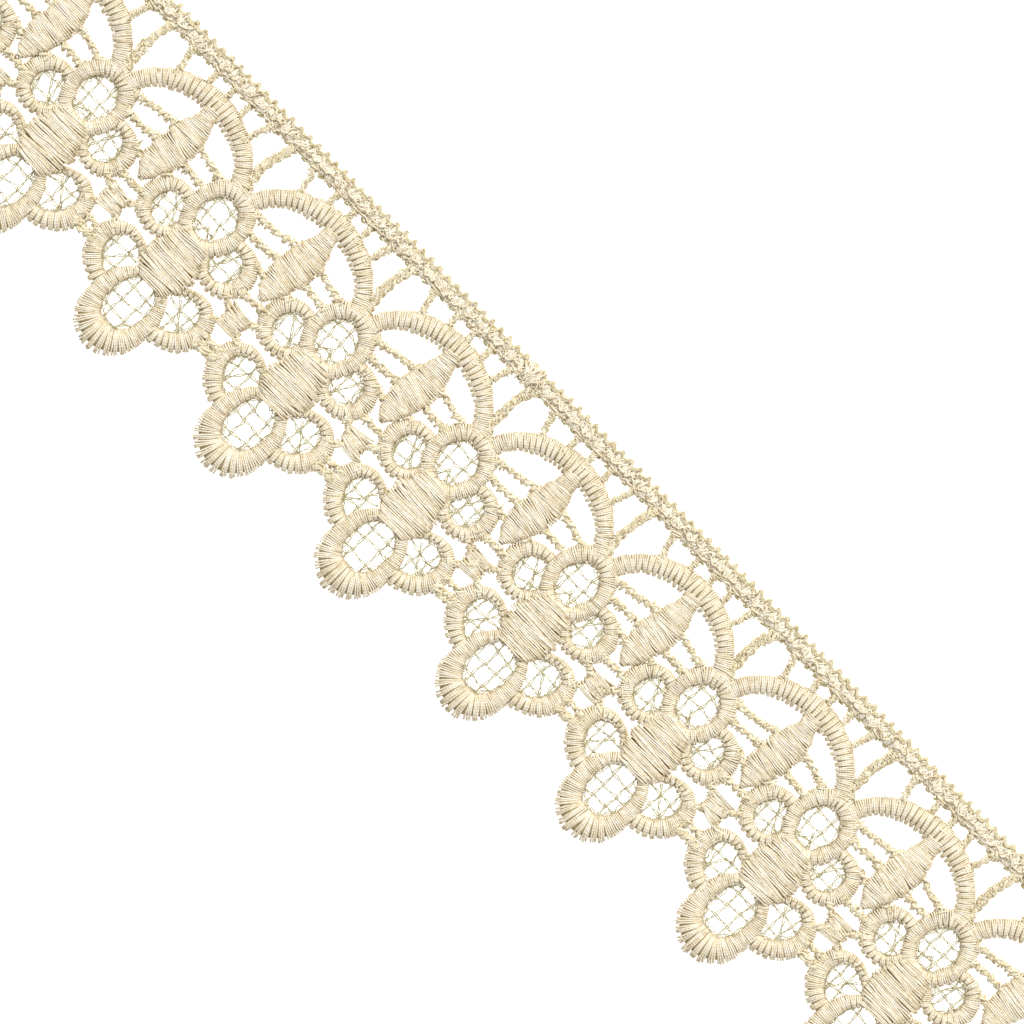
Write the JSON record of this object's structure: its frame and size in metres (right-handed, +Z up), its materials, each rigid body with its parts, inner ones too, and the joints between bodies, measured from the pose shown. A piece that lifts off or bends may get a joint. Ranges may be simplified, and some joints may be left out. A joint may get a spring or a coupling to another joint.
{
  "type": "lace trim",
  "caption": "Flat cut length of cream guipure lace trim: satin-stitched flowers and leaves between arches, joined by cords, with a straight heading along one edge.",
  "frame": {"origin": "middle of the strip's length and width, on the flat underside that it lies on", "axes": "+X along the strip, +Y across it to the straight heading, +Z up from the surface it lies on"},
  "size_m": [0.312, 0.06, 0.0018],
  "materials": {
    "thread": "cream stitching thread with a soft sheen"
  },
  "bodies": {
    "root": {"lace": "thread"}
  },
  "joints": []
}
